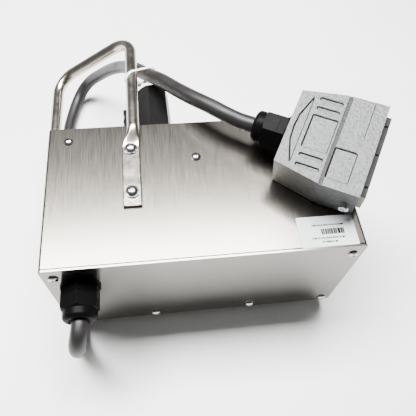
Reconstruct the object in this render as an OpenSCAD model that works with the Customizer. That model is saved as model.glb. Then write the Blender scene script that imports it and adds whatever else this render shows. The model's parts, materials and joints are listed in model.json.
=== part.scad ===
// Valve-jet print head of a date code printer: a stainless box with a bent tube handle,
// a cable that ends in a rectangular industrial plug, an ink inlet filter at the back and
// seven small valves that feed a row of nozzles in the right-hand end.
// The origin is the centre of the box's footprint on the surface that the feet stand on.
// X runs along the box, Y away from the cable gland's side, Z up.

/* [Housing] */
// Length of the box along X
box_l = 300; // [290:1:320]
// Depth of the box along Y, front plate included
box_d = 160; // [156:1:180]
// Height of the box without its feet
box_h = 144; // [140:1:160]
// Thickness of the sheet steel
sheet = 2; // [1.5:0.1:2]
// Radius of the folded long edges
fold_r = 3; // [2.5:0.5:4]
// Height of a rubber foot
foot_h = 20; // [18:1:24]
// Largest diameter of a rubber foot
foot_d = 24; // [20:1:26]

/* [Handle] */
// Outer diameter of the handle's tube
tube_d = 13; // [11:0.5:13.5]
// Distance from the rear face to the middle of the handle's cross bar
handle_reach = 129; // [110:1:140]
// Radius of the tube's bends at its centre line
handle_bend = 25; // [20:1:30]
// Width of the crushed flat ends
flat_w = 18; // [16:0.5:20]
// Thickness of the crushed flat ends
flat_t = 4; // [3:0.5:5]

/* [Cable glands] */
// Width of the gland's hexagons across their flats
gland_af = 33; // [30:1:33]
// Height of the front gland's axis above the box's underside
gland_z = 104; // [100:1:105]
// Distance of the front gland's axis from the box's left end
gland_x = 30; // [28:1:36]

/* [Cable and plug] */
// Outer diameter of the cable
cable_d = 16; // [14:0.5:16]
// Length of the plug's hood along its row of contacts
hood_l = 98; // [94:1:98]
// Thickness of the plug's hood
hood_t = 43; // [43:0.5:45]

/* [Inlet filter] */
// Width of the filter bowl's hexagon across its flats
bowl_af = 38; // [32:1:38]
// Length of the filter bowl
bowl_l = 64; // [50:1:64]

/* [Valves] */
// Number of valves, one for each nozzle
valves = 7; // [7]
// Outer diameter of a valve
valve_d = 18; // [16:0.5:18]
// Travel of a valve's plunger
valve_travel = 0.8; // [0.4:0.1:1]
// Distance between neighbouring nozzles
nozzle_pitch = 8; // [6:0.5:9]

/* [Hidden] */
$fn = 48;

left = -box_l / 2;
right = box_l / 2;
front = -box_d / 2;
back = box_d / 2;
base = foot_h;
top = foot_h + box_h;
joint_gap = 0.3;      // air between a turning nut and what it turns on
gasket_t = 1;
shell_front = front + sheet + gasket_t;
cut = 1;              // how far a cutting tool runs past a face
through = sheet + 2 * cut;

// Where the screws go: X and Z on the front plate, X and Y on the top
plate_screw_at = [[left + 10, top - 16.5], [right - 10, top - 16.5], [left + 10, base + 7.5],
    [left + 96, base + 7.5], [right - 96, base + 7.5], [right - 10, base + 7.5]];
top_screw_at = [[left + 21, back - 17], [0, back - 46], [right - 21, back - 17]];
foot_at = [for (y = [front + 26, back - 26], x = [left + 34, right - 34]) [x, y]];
plate_screw_d = 5;
nozzle_screw_d = 4;

// Handle: both legs run along Y, one over the top and one beside the left end
leg_x = left + 88;
flat_x = left + 84.5;
leg_z = top + tube_d / 2;
side_leg_x = left - 8;
side_leg_z = base + 89;
bar_y = back + handle_reach;
bar_dx = leg_x - side_leg_x;
bar_dz = leg_z - side_leg_z;
bar_len = sqrt(bar_dx * bar_dx + bar_dz * bar_dz);
bar_tilt = atan2(bar_dz, bar_dx);
flat_y0 = front + 59;
flat_y1 = back - 26;
round_y0 = back - 8;
handle_screw_y = [front + 74, front + 126];
handle_screw_d = 6;
washer_t = 1.6;

// Glands: lengths of the parts, measured along the axis away from the housing
gland_pos = [left + gland_x, front, base + gland_z];
flange_t = 2;
hex_t = 7;
nut_t = 15;
dome_t = 9.7;
thread_r = 12.5;
nut_start = flange_t + hex_t + joint_gap;
gland_mouth = nut_start + nut_t + dome_t;
mouth_r = cable_d / 2 + joint_gap;

// Plug: its own frame has +X towards the contacts, +Y along the row of contacts and +Z out of
// the upper large face, with its origin in that face, on the groove
plug_pos = [right - 24.8, 4.8, top + 53.3];
plug_turn = [12, -3.5, -30];
hood_back = -46;
hood_front = 36;
hood_wall = 3.2;
hood_back_l = hood_l - 18;
plug_axis_z = -hood_t / 2;
insert_out = 5.5;
peg_stem_d = 5;
contact_d = 4.6;
plug_screw_d = 3;
contact_at = [for (i = [0 : 7], z = [-6, 6]) [-35 + 10 * i, plug_axis_z + z]];
plug_screw_at = [for (y = [-1, 1], z = [-1, 1]) [y * (hood_l / 2 - 6.6), plug_axis_z + z * 14.5]];

// Inlet filter on the rear face
inlet_pos = [left + 109, back, base + 116];
port_d = 16;
collar_t = 5;
bowl_turn = 10;
lever_y = 38;

// Inside: chassis, board, manifold and valves
chassis_y = back - 60;
board_size = [130, 1.6, 90];
board_pos = [left + 25, chassis_y - 12, base + 25];
manifold_x = 40;
manifold_t = 20;
valve_l = 44;
valve_x = manifold_x + manifold_t;
valve_bore_r = 4.55;
plunger_r = 4.5;
plunger_l = 22;
seat_t = 4;
nozzle_y = -30;
nozzle_mid_z = base + 73;
valve_pitch = 13;
valve_mid_z = base + 73;
nozzle_block_x = right - sheet - 14;
nozzle_screw_z = [nozzle_mid_z - 40, nozzle_mid_z + 40];
plate_t = 3;
spring_gap = valve_travel + 0.2;

function unit(v) = v / norm(v);
function valve_z(i) = valve_mid_z + (i - (valves - 1) / 2) * valve_pitch;
function valve_y(i) = nozzle_y + (i % 2 == 0 ? 14 : -14);
function nozzle_z(i) = nozzle_mid_z + (i - (valves - 1) / 2) * nozzle_pitch;

// A point given in the plug's frame, in the part's frame
function turn_x(p, a) = [p[0], p[1] * cos(a) - p[2] * sin(a), p[1] * sin(a) + p[2] * cos(a)];
function turn_y(p, a) = [p[0] * cos(a) + p[2] * sin(a), p[1], -p[0] * sin(a) + p[2] * cos(a)];
function turn_z(p, a) = [p[0] * cos(a) - p[1] * sin(a), p[0] * sin(a) + p[1] * cos(a), p[2]];
function plug_point(p) = plug_pos + turn_z(turn_y(turn_x(p, plug_turn[0]), plug_turn[1]), plug_turn[2]);

// The cable's route: out of the front gland, down and back under the box, out behind it,
// up past the handle's leg, where a tie holds it, and over the top to the plug
cable_route = concat([
    [-120, -114, 124], [-120, -118, 124], [-121, -125, 122], [-123, -130, 116], [-125, -132, 107],
    [-127, -131, 95], [-130, -127, 78], [-133, -122, 60], [-136, -117, 43], [-139, -111, 28],
    [-142, -102, 15], [-144, -88, 9], [-145, -68, 8.2], [-147, -20, 8.2], [-151, 25, 8.2],
    [-157, 75, 8.2], [-163, 125, 8.2], [-167, 170, 8.2], [-167, 212, 8.2], [-163, 240, 8.6],
    [-157, 262, 11.5], [-151, 274, 16.5], [-144, 281, 24], [-135, 284, 33], [-125, 280, 45],
    [-115, 272, 58], [-104, 261, 74], [-94, 248, 90], [-84, 234, 105], [-74, 219, 119],
    [-65, 199, 135], [-56, 180, 149], [-43, 157, 161], [-30, 137, 172], [-14, 114, 180],
    [1, 94, 187], [18, 77, 191], [33, 64, 191.5]],
    [plug_point([hood_back - gland_mouth - 16, 0, plug_axis_z]),
     plug_point([hood_back - gland_mouth, 0, plug_axis_z])]);

// ---- shapes that repeat ----

// A straight round bar between two points
module rod(a, b, d) {
    v = b - a;
    translate(a) rotate([0, acos(v[2] / norm(v)), atan2(v[1], v[0])]) cylinder(h = norm(v), d = d);
}

// A thin eight-sided wire along a list of points, each length run on a little to close the corners
module wire(points, d) {
    for (i = [0 : len(points) - 2]) {
        run_on = 0.3 * d * unit(points[i + 1] - points[i]);
        rod(points[i] - run_on, points[i + 1] + run_on, d, $fn = 8);
    }
}

// Round bars along X, Y and Z, which start at a point
module bar_x(at, h, d) { translate(at) rotate([0, 90, 0]) cylinder(h = h, d = d); }
module bar_y(at, h, d) { translate(at) rotate([-90, 0, 0]) cylinder(h = h, d = d); }
module bar_z(at, h, d) { translate(at) cylinder(h = h, d = d); }

// A rectangle with round corners, centred on the origin
module round_rect(w, h, r) {
    square([w - 2 * r, h], center = true);
    square([w, h - 2 * r], center = true);
    for (x = [-1, 1], y = [-1, 1]) translate([x * (w / 2 - r), y * (h / 2 - r)]) circle(r = r);
}

// A flat panel in the plane of X and Z, with the box's outline, from y0 towards +Y
module panel(y0, t, inset = 0) {
    translate([0, y0 + t, base + box_h / 2]) rotate([90, 0, 0])
        linear_extrude(t) round_rect(box_l - 2 * inset, box_h - 2 * inset, fold_r);
}

// The window inside the flange that the front plate closes
module flange_window(y0, t) {
    difference() {
        translate([left + 8, y0, base + 14]) cube([box_l - 16, t, box_h - 24]);
        for (x = [left, right - 18]) translate([x, y0 - cut, top - 23]) cube([18, t + 2 * cut, 23]);
    }
}

// Every hole for a plate screw, along Y
module plate_holes(y0, t, d) {
    for (p = plate_screw_at) bar_y([p[0], y0, p[1]], t, d);
}

// A pan-head screw with a cross recess, its head's underside at the origin and its shank down
module pan_screw(d, length) {
    head_d = 1.9 * d;
    head_h = 0.62 * d;
    difference() {
        union() {
            intersection() {
                cylinder(h = head_h, d = head_d);
                translate([0, 0, head_h - head_d * 0.75]) sphere(r = head_d * 0.75);
            }
            translate([0, 0, -length]) cylinder(h = length + cut / 2, d = d);
        }
        for (a = [0, 90]) rotate([0, 0, a])
            translate([-0.45 * d, -0.1 * d, head_h - 0.3 * d]) cube([0.9 * d, 0.2 * d, d]);
    }
}

// A hexagonal nut lying on the origin
module hex_nut(af, t, bore) {
    difference() {
        cylinder(h = t, d = af / cos(30), $fn = 6);
        translate([0, 0, -cut]) cylinder(h = t + 2 * cut, d = bore);
    }
}

// Places a gland's own +Z along its axis, away from the housing
module at_front_gland() { translate(gland_pos) rotate([90, 0, 0]) children(); }
module in_plug() { translate(plug_pos) rotate(plug_turn) children(); }
module at_plug_gland() {
    in_plug() translate([hood_back, 0, plug_axis_z]) rotate([0, -90, 0]) children();
}

// The fixed half of a cable gland: flange, hexagon and hollow thread on both sides
module gland_fixed(inner_l) {
    difference() {
        union() {
            cylinder(h = flange_t, d = gland_af + 5);
            translate([0, 0, flange_t]) rotate([0, 0, 30])
                cylinder(h = hex_t, d = gland_af / cos(30), $fn = 6);
            translate([0, 0, -inner_l]) cylinder(h = inner_l + flange_t, r = thread_r);
            cylinder(h = nut_start + nut_t - 4, r = thread_r);
        }
        translate([0, 0, -inner_l - cut])
            cylinder(h = inner_l + nut_start + nut_t + 2 * cut, r = mouth_r + 1);
    }
}

// The rubber seal that the nut presses round the cable
module gland_rubber() {
    translate([0, 0, nut_start + nut_t - 4]) difference() {
        cylinder(h = 8, r = thread_r - 1);
        translate([0, 0, -cut]) cylinder(h = 8 + 2 * cut, d = cable_d);
    }
}

// The domed nut: a hexagon, then a round nose with a rolled edge round the mouth
module gland_cap() {
    nose_r = gland_af / 2;
    edge_r = 4.5;
    translate([0, 0, nut_start]) difference() {
        union() {
            intersection() {
                rotate([0, 0, 30]) cylinder(h = nut_t, d = gland_af / cos(30), $fn = 6);
                translate([0, 0, nut_t - 24]) sphere(r = 29);
            }
            translate([0, 0, nut_t - cut]) cylinder(h = dome_t + cut - edge_r, r = nose_r - 0.5);
            translate([0, 0, nut_t + dome_t - edge_r]) rotate_extrude()
                translate([nose_r - 0.5 - edge_r, 0]) circle(r = edge_r);
            translate([0, 0, nut_t]) cylinder(h = dome_t, r = nose_r - 0.5 - edge_r);
        }
        translate([0, 0, -cut]) cylinder(h = nut_t + cut + 4.4, r = thread_r + joint_gap);
        cylinder(h = nut_t + dome_t + cut, r = mouth_r);
        translate([0, 0, nut_t + dome_t - 2]) cylinder(h = 2 + cut, r1 = mouth_r, r2 = mouth_r + 3.5);
    }
}

// ---- the box ----

module housing_shell() color([0.73, 0.72, 0.70]) difference() {
    panel(shell_front, back - shell_front);
    translate([left + sheet, shell_front + sheet, base + sheet])
        cube([box_l - 2 * sheet, back - shell_front - 2 * sheet, box_h - 2 * sheet]);
    flange_window(shell_front - cut, through);
    plate_holes(shell_front - cut, through, plate_screw_d + 0.3);
    for (p = top_screw_at) bar_z([p[0], p[1], top - sheet - cut], through, plate_screw_d + 0.3);
    for (p = foot_at) bar_z([p[0], p[1], base - cut], through, plate_screw_d + 0.3);
    for (y = handle_screw_y) {
        bar_z([flat_x, y, top - sheet - cut], through, handle_screw_d + 0.4);
        bar_x([left - cut, y, side_leg_z], through, handle_screw_d + 0.4);
    }
    bar_y([inlet_pos[0], back - sheet - cut, inlet_pos[2]], through, port_d + 0.3);
    translate([right - sheet - cut, nozzle_y - 9, nozzle_mid_z - 32]) cube([sheet + 2 * cut, 18, 64]);
    for (z = nozzle_screw_z) bar_x([right - sheet - cut, nozzle_y, z], through, nozzle_screw_d + 0.3);
}

module front_plate() color([0.70, 0.69, 0.67]) difference() {
    panel(front, sheet);
    plate_holes(front - cut, through, plate_screw_d + 0.3);
    bar_y([gland_pos[0], front - cut, gland_pos[2]], through, 2 * thread_r + 0.4);
}

module front_gasket() color([0.16, 0.16, 0.16]) difference() {
    panel(front + sheet, gasket_t, inset = 0.6);
    flange_window(front + sheet - cut, gasket_t + 2 * cut);
    plate_holes(front + sheet - cut, gasket_t + 2 * cut, plate_screw_d + 0.3);
}

module plate_screws() color([0.80, 0.80, 0.80])
    for (p = plate_screw_at) translate([p[0], front, p[1]]) rotate([90, 0, 0])
        pan_screw(plate_screw_d, 10.5);

// Nuts inside the sheet: behind the flange, under the chassis, above the feet, by the nozzles
module weld_nuts() color([0.60, 0.60, 0.58]) {
    for (p = plate_screw_at) translate([p[0], shell_front + sheet + 4, p[1]]) rotate([90, 0, 0])
        hex_nut(8, 4, plate_screw_d);
    for (p = top_screw_at) translate([p[0], p[1], top - 2 * sheet - 4]) hex_nut(8, 4, plate_screw_d);
    for (p = foot_at) translate([p[0], p[1], base + sheet]) hex_nut(8, 4, plate_screw_d);
    for (z = nozzle_screw_z) translate([right - sheet, nozzle_y, z]) rotate([0, -90, 0])
        hex_nut(7, 3, nozzle_screw_d);
}

module top_screws() color([0.82, 0.82, 0.82])
    for (p = top_screw_at) translate([p[0], p[1], top]) rotate([0, 0, 20])
        pan_screw(plate_screw_d, 2 * sheet + 4);

// A rubber foot under the box, with a sunk hole for its screw
module rubber_foot(i) color([0.13, 0.13, 0.13]) translate([foot_at[i][0], foot_at[i][1], 0]) difference() {
    cylinder(h = foot_h, d1 = foot_d - 3, d2 = foot_d);
    translate([0, 0, -cut]) cylinder(h = foot_h + 2 * cut, d = plate_screw_d + 0.2);
    translate([0, 0, -cut]) cylinder(h = foot_h - 6 + cut, d = 11);
}
module foot_front_left() { rubber_foot(0); }
module foot_front_right() { rubber_foot(1); }
module foot_rear_left() { rubber_foot(2); }
module foot_rear_right() { rubber_foot(3); }

module foot_screws() color([0.75, 0.75, 0.75])
    for (p = foot_at) translate([p[0], p[1], foot_h - 6]) rotate([180, 0, 0]) pan_screw(plate_screw_d, 12);

module blank_label() color([0.93, 0.94, 0.96])
    translate([right - 35.5, front + 18, top]) linear_extrude(0.3) round_rect(55, 32, 1.5);

// ---- the handle ----

// The bent tube between its two flat ends, drawn in the tilted plane of the bend:
// +X here runs from the top leg towards the side leg
module handle_bend_tube(r) {
    for (x = [0, bar_len]) translate([x, round_y0, 0]) rotate([-90, 0, 0])
        cylinder(h = bar_y - handle_bend - round_y0, r = r);
    translate([handle_bend, bar_y, 0]) rotate([0, 90, 0]) cylinder(h = bar_len - 2 * handle_bend, r = r);
    translate([handle_bend, bar_y - handle_bend, 0]) rotate([0, 0, 90]) rotate_extrude(angle = 90)
        translate([handle_bend, 0]) circle(r = r);
    translate([bar_len - handle_bend, bar_y - handle_bend, 0]) rotate_extrude(angle = 90)
        translate([handle_bend, 0]) circle(r = r);
}

// A crushed flat end: +X is across it, +Z is out of the housing, its underside at z = 0
module flat_end() {
    translate([-flat_w / 2, flat_y0, 0]) difference() {
        cube([flat_w, flat_y1 - flat_y0, flat_t]);
        translate([2, -cut, flat_t / 2 - 0.4]) cube([flat_w - 4, 7 + cut, 0.8]);
    }
}

// The stretch where the flat opens into the round tube; it reaches a little way into both
module handle_neck(shift) hull() {
    skin = 0.2;
    translate([-flat_w / 2 + skin, flat_y1 - 1, skin]) cube([flat_w - 2 * skin, 1, flat_t - 2 * skin]);
    translate([shift[0], round_y0, shift[1]]) rotate([-90, 0, 0])
        cylinder(h = 1, d = tube_d - 2 * skin, $fn = 32);
}

module on_side_leg() translate([left, 0, side_leg_z]) rotate([0, -90, 0]) children();

module handle_tube() color([0.70, 0.69, 0.66]) difference() {
    union() {
        translate([leg_x, 0, leg_z]) rotate([0, 180 - bar_tilt, 0]) mirror([0, 0, 1])
            handle_bend_tube(tube_d / 2);
        translate([flat_x, 0, top]) { flat_end(); handle_neck([leg_x - flat_x, leg_z - top]); }
        on_side_leg() { flat_end(); handle_neck([0, left - side_leg_x]); }
    }
    for (y = handle_screw_y) {
        translate([flat_x, y, top - cut]) cylinder(h = flat_t + 2 * cut, d = handle_screw_d + 0.4);
        on_side_leg() translate([0, y, -cut]) cylinder(h = flat_t + 2 * cut, d = handle_screw_d + 0.4);
    }
}

// Repeats a fastener at all four handle screws, its own +Z out of the housing
module at_handle_screws() for (y = handle_screw_y) {
    translate([flat_x, y, top]) children();
    on_side_leg() translate([0, y, 0]) children();
}

module handle_screws() color([0.82, 0.82, 0.82]) at_handle_screws()
    translate([0, 0, flat_t + washer_t]) rotate([0, 0, 35])
        pan_screw(handle_screw_d, flat_t + washer_t + sheet + 7);

module handle_washers() color([0.78, 0.78, 0.77]) at_handle_screws() difference() {
    bar_z([0, 0, flat_t], washer_t, 13.5);
    bar_z([0, 0, flat_t - cut], washer_t + 2 * cut, handle_screw_d + 0.3);
}

module handle_nuts() color([0.62, 0.62, 0.60]) at_handle_screws() translate([0, 0, -sheet - 5])
    hex_nut(10, 5, handle_screw_d);

// ---- the cable, its glands and its plug ----

module gland_body() color([0.10, 0.10, 0.10]) at_front_gland() gland_fixed(sheet + 8);
module gland_seal() color([0.20, 0.20, 0.20]) at_front_gland() gland_rubber();
module gland_nut() color([0.09, 0.09, 0.09]) at_front_gland() gland_cap();
module gland_locknut() color([0.12, 0.12, 0.12]) at_front_gland() translate([0, 0, -sheet - 6])
    rotate([0, 0, 30]) hex_nut(gland_af - 2, 6, 2 * thread_r);

module plug_gland_body() color([0.10, 0.10, 0.10]) at_plug_gland() gland_fixed(hood_wall + 3);
module plug_gland_seal() color([0.20, 0.20, 0.20]) at_plug_gland() gland_rubber();
module plug_gland_nut() color([0.09, 0.09, 0.09]) at_plug_gland() gland_cap();

// The hood's outline: it tapers towards the gland from the groove on
module hood_outline(inset, front_x) {
    back_x = hood_back + inset;
    back_y = hood_back_l / 2 - inset;
    side_y = hood_l / 2 - inset;
    polygon([[back_x, -back_y], [0, -side_y], [front_x, -side_y],
        [front_x, side_y], [0, side_y], [back_x, back_y]]);
}

// The sunk shapes of a large face: four slots, a blank plate, a spindle and a finger recess
module hood_relief() {
    depth = 0.9;
    translate([0, 0, -depth]) linear_extrude(depth + cut) {
        for (y = [-36.5, -26, 26, 36.5]) translate([-16, y]) round_rect(23, 4.2, 2);
        translate([-16, 0]) round_rect(25, 37, 2);
        polygon([[-33, 37.5], [-31.8, 34], [-31.8, -34], [-33, -37.5], [-34.2, -34], [-40.5, -14],
            [-41.5, 0], [-40.5, 14], [-34.2, 34]]);
        translate([12, -24.5]) round_rect(21.5, 33, 2.5);
    }
    translate([-2, -hood_l, -1.4]) cube([4, 2 * hood_l, 1.4 + cut]);
    translate([2, 7, -depth / 2]) cube([21.4, hood_l, depth]);
}

module plug_hood() color([0.72, 0.72, 0.71]) in_plug() difference() {
    translate([0, 0, -hood_t]) linear_extrude(hood_t) hood_outline(0, hood_front);
    translate([0, 0, -hood_t + hood_wall]) linear_extrude(hood_t - 2 * hood_wall)
        hood_outline(hood_wall, hood_front + cut);
    hood_relief();
    translate([0, 0, -hood_t]) mirror([0, 0, 1]) hood_relief();
    bar_x([hood_back - cut, 0, plug_axis_z], hood_wall + 2 * cut, 2 * thread_r + 0.4);
    at_pegs() bar_z([0, 0, -hood_wall - cut], hood_wall + 2 * cut, peg_stem_d);
}

// The contact block: a body inside the hood with a stepped nose that stands out of it
module plug_insert() color([0.80, 0.77, 0.69]) in_plug() difference() {
    union() {
        translate([hood_front - 24, -hood_l / 2 + 8, plug_axis_z - 15]) cube([22, hood_l - 16, 30]);
        translate([hood_front - 3, -hood_l / 2 + 5.5, plug_axis_z - 12])
            cube([insert_out + 3, hood_l - 11, 24]);
        translate([hood_front - 9, -hood_l / 2 + hood_wall + 0.2, plug_axis_z - 17.5])
            cube([4, hood_l - 2 * hood_wall - 0.4, 35]);
    }
    for (y = [-33, 1.5, 33]) translate([hood_front + 1.5, y - 1, plug_axis_z - 13])
        cube([insert_out, 2, 26]);
    for (p = contact_at) bar_x([hood_front - 25, p[0], p[1]], 40, contact_d);
    for (p = plug_screw_at) {
        bar_x([hood_front - 17, p[0], p[1]], 17, plug_screw_d + 0.2);
        bar_x([hood_front - 5, p[0], p[1]], 2.9, 2 * plug_screw_d + 0.2);
    }
}

// Sixteen contact sleeves in two rows
module plug_contacts() color([0.78, 0.66, 0.36]) in_plug() for (p = contact_at) difference() {
    bar_x([hood_front - 30, p[0], p[1]], 34, contact_d);
    bar_x([hood_front - 8, p[0], p[1]], 14, 2.6);
}

module plug_screws() color([0.80, 0.80, 0.80]) in_plug()
    for (p = plug_screw_at) translate([hood_front - 5, p[0], p[1]]) rotate([0, 90, 0])
        pan_screw(plug_screw_d, 11);

// Both pegs' places, in the plug's frame, one on each short end, with +Z out of the hood
module at_pegs()
    for (y = [-1, 1]) translate([27, y * hood_l / 2, plug_axis_z - 3]) rotate([-90 * y, 0, 0]) children();

// The two pegs that the socket's locking lever would hold
module plug_locking_pegs() color([0.86, 0.86, 0.86]) in_plug() at_pegs() {
    cylinder(h = 3.5, d = 7);
    translate([0, 0, 3.5]) cylinder(h = 2.2, d = 9);
    translate([0, 0, -hood_wall]) cylinder(h = hood_wall + 1, d = peg_stem_d);
}

// One closed tube swept along the route, with twelve sides
cable_sides = 12;
function route_dir(i) = unit(cable_route[min(i + 1, len(cable_route) - 1)] - cable_route[max(i - 1, 0)]);
function square_to(v, t) = unit(v - t * (v * t));
function route_side(i) = square_to(i == 0 ? [1, 0, 0] : route_side(i - 1), route_dir(i));
function route_ring(i) = let (s = route_side(i), u = cross(route_dir(i), s))
    [for (k = [0 : cable_sides - 1]) let (a = 360 * k / cable_sides)
        cable_route[i] + cable_d / 2 * (cos(a) * s + sin(a) * u)];

module cable() color([0.42, 0.41, 0.43]) {
    rings = len(cable_route);
    last = (rings - 1) * cable_sides;
    polyhedron(
        points = [for (i = [0 : rings - 1]) each route_ring(i)],
        faces = concat(
            [[for (k = [0 : cable_sides - 1]) k]],
            [for (i = [0 : rings - 2], k = [0 : cable_sides - 1])
                let (a = i * cable_sides, n = (k + 1) % cable_sides)
                each [[a + k, a + cable_sides + k, a + n],
                    [a + n, a + cable_sides + k, a + cable_sides + n]]],
            [[for (k = [cable_sides - 1 : -1 : 0]) last + k]]));
}

// The cable's ends inside the box and inside the hood
module box_cable_end() color([0.42, 0.41, 0.43]) at_front_gland()
    translate([0, 0, -30]) cylinder(h = 30 + gland_mouth, d = cable_d);
module plug_cable_end() color([0.42, 0.41, 0.43]) at_plug_gland()
    translate([0, 0, -10]) cylinder(h = 10 + gland_mouth, d = cable_d);

// The tie: a strap round the handle's leg and the cable beside it, with its lock
tie_a = [leg_x, 144, leg_z];
tie_b = [-43.5, 158.5, 160.5];
tie_roll = 88;
tie_w = 2.8;
tie_t = 1.1;
module cable_tie() color([0.93, 0.93, 0.91]) {
    v = tie_b - tie_a;
    span = norm(v);
    tie_r = [tube_d / 2 + 1.2, cable_d / 2 + 0.8];
    translate(tie_a) rotate([0, asin(-v[2] / span), atan2(v[1], v[0])]) rotate([tie_roll, 0, 0])
        translate([0, 0, -tie_w / 2]) {
            difference() {
                linear_extrude(tie_w) tie_outline(span, tie_r + [tie_t, tie_t]);
                translate([0, 0, -cut]) linear_extrude(tie_w + 2 * cut) tie_outline(span, tie_r);
            }
            translate([span / 2 - 3.5, -tie_r[1] - 3.8, -0.6]) cube([7, 4.2, tie_w + 1.2]);
            translate([span / 2 - 1, -tie_r[1] - 9, tie_w / 4]) cube([tie_t, 6, tie_w / 2]);
        }
}

// The outline of a strap round the leg at the origin and the cable at [span, 0]
module tie_outline(span, r) hull() {
    circle(r = r[0], $fn = 32);
    translate([span, 0]) circle(r = r[1], $fn = 32);
}

// ---- the ink inlet and its filter ----

module at_inlet() { translate(inlet_pos) rotate([-90, 0, 0]) children(); }

module inlet_port() color([0.66, 0.66, 0.64]) at_inlet() difference() {
    union() {
        translate([0, 0, -22]) cylinder(h = 22, d = port_d);
        cylinder(h = collar_t + 10, d = port_d);
    }
    translate([0, 0, -23]) cylinder(h = 60, d = 7);
}

module inlet_locknut() color([0.64, 0.64, 0.62]) at_inlet() translate([0, 0, -sheet - 6])
    hex_nut(22, 6, port_d);

module inlet_collar() color([0.70, 0.70, 0.68]) at_inlet() difference() {
    cylinder(h = collar_t, d = 33);
    translate([0, 0, -cut]) cylinder(h = collar_t + 2 * cut, d = port_d);
}

module filter_element() color([0.85, 0.84, 0.78]) at_inlet() difference() {
    translate([0, 0, collar_t + 10]) cylinder(h = bowl_l - 20, d = 15);
    translate([0, 0, collar_t + 9]) cylinder(h = bowl_l - 22, d = 7);
}

// The hexagonal bowl turns a quarter turn to come off; its lever points to the left
module filter_bowl() color([0.09, 0.09, 0.09]) at_inlet() translate([0, 0, collar_t + joint_gap]) {
    difference() {
        intersection() {
            rotate([0, 0, 30 - bowl_turn])
                cylinder(h = bowl_l, d1 = bowl_af / cos(30), d2 = (bowl_af - 3) / cos(30), $fn = 6);
            cylinder(h = bowl_l, r1 = bowl_af / 2 - 1.2 + bowl_l / 2, r2 = bowl_af / 2 - 1.2);
        }
        translate([0, 0, -cut]) cylinder(h = 11 + cut, d = port_d + 2 * joint_gap);
        translate([0, 0, 10]) cylinder(h = bowl_l - 16, d = 19);
    }
    difference() {
        translate([-34, -4, lever_y - 20]) cube([22, 8, 22]);
        for (z = [-22, -8.5, 5]) bar_y([-36.3, -5, lever_y + z], 10, 9);
        translate([0, 0, lever_y - 24]) cylinder(h = 30, d = bowl_af - 4);
    }
}

// ---- inside the box ----

module chassis() color([0.66, 0.66, 0.65]) difference() {
    union() {
        translate([left + 12, chassis_y, top - 2 * sheet]) cube([box_l - 24, 55, sheet]);
        translate([left + 12, chassis_y, base + 16]) cube([box_l - 24, sheet, box_h - 16 - sheet]);
    }
    for (p = top_screw_at) bar_z([p[0], p[1], top - 2 * sheet - cut], through, plate_screw_d + 0.3);
    bar_y([manifold_x + 10, chassis_y - cut, inlet_pos[2]], through, 14);
    bar_z([flat_x, handle_screw_y[1], top - 2 * sheet - cut], through, 13);
}

// Where the board's four standoffs go, in X and Z
standoff_at = [for (x = [6, board_size[0] - 6], z = [6, board_size[2] - 6])
    [board_pos[0] + x, board_pos[2] + z]];

module board_standoffs() color([0.74, 0.62, 0.32])
    for (p = standoff_at) translate([p[0], chassis_y, p[1]]) rotate([90, 0, 0])
        hex_nut(5.5, chassis_y - board_pos[1] - board_size[1], 2.5);

module driver_board() color([0.10, 0.38, 0.22]) difference() {
    translate(board_pos) cube(board_size);
    for (p = standoff_at) bar_y([p[0], board_pos[1] - cut, p[1]], 4, 3.2);
}

// One power transistor with its tab for each valve, in a row along the board's upper edge
module valve_drivers() color([0.12, 0.12, 0.13])
    for (i = [0 : valves - 1]) translate(board_pos + [22 + 14 * i, -4.6, 60]) {
        cube([10, 4.6, 9]);
        translate([0, 3.3, 9]) cube([10, 1.3, 6.5]);
        for (x = [2.4, 5, 7.6]) translate([x - 0.4, 1.5, -5]) cube([0.8, 0.6, 5]);
    }

module capacitors() color([0.18, 0.20, 0.34])
    for (x = [30, 52, 74]) translate(board_pos + [x, 0, 34]) rotate([90, 0, 0]) difference() {
        cylinder(h = 21, d = 16);
        translate([0, 0, 18.5]) difference() {
            cylinder(h = 1, d = 18);
            translate([0, 0, -cut]) cylinder(h = 3, d = 14.8);
        }
    }

module terminal_block() color([0.16, 0.42, 0.24]) difference() {
    translate(board_pos + [8, -12, 4]) cube([112, 12, 10]);
    for (i = [0 : 15]) bar_y(board_pos + [15.5 + 6.5 * i, -13, 9], 5, 4);
}

// Cores from the cable's end to the terminals, and leads from the board to the valves
module core_wires() color([0.75, 0.30, 0.22]) {
    for (i = [0 : 5]) {
        core_x = gland_pos[0] - 5 + 2 * i;
        terminal_x = board_pos[0] + 15.5 + 13 * i;
        terminal_z = board_pos[2] + 9;
        wire([[core_x, front + 30.7, gland_pos[2]], [core_x, front + 42, gland_pos[2] - 12],
            [terminal_x, board_pos[1] - 22, terminal_z + 8], [terminal_x, board_pos[1] - 22, terminal_z],
            [terminal_x, board_pos[1] - 9, terminal_z]], 1.6);
    }
    for (i = [0 : valves - 1]) {
        tab_x = board_pos[0] + 27 + 14 * i;
        lead_y = board_pos[1] - 9 - 2.5 * i;
        lead_z = top - 11.5;
        drop_x = valve_x + 8 + 3 * (valves - i);
        side = valve_y(i) > nozzle_y ? 1 : -1;
        drop_y = valve_y(i) + side * (valve_d / 2 + 2.5);
        wire([[tab_x, board_pos[1] - 3, board_pos[2] + 77], [tab_x, lead_y, lead_z],
            [drop_x, lead_y, lead_z], [drop_x, drop_y, lead_z], [drop_x, drop_y, valve_z(i)],
            [drop_x, valve_y(i) + side * (valve_d / 2 + 0.7), valve_z(i)]], 1.4);
    }
}

supply_r = 4;
supply_bend = 12;
module supply_elbow(turn)
    rotate([0, 0, turn]) rotate_extrude(angle = 90) translate([supply_bend, 0]) circle(r = supply_r);

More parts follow.
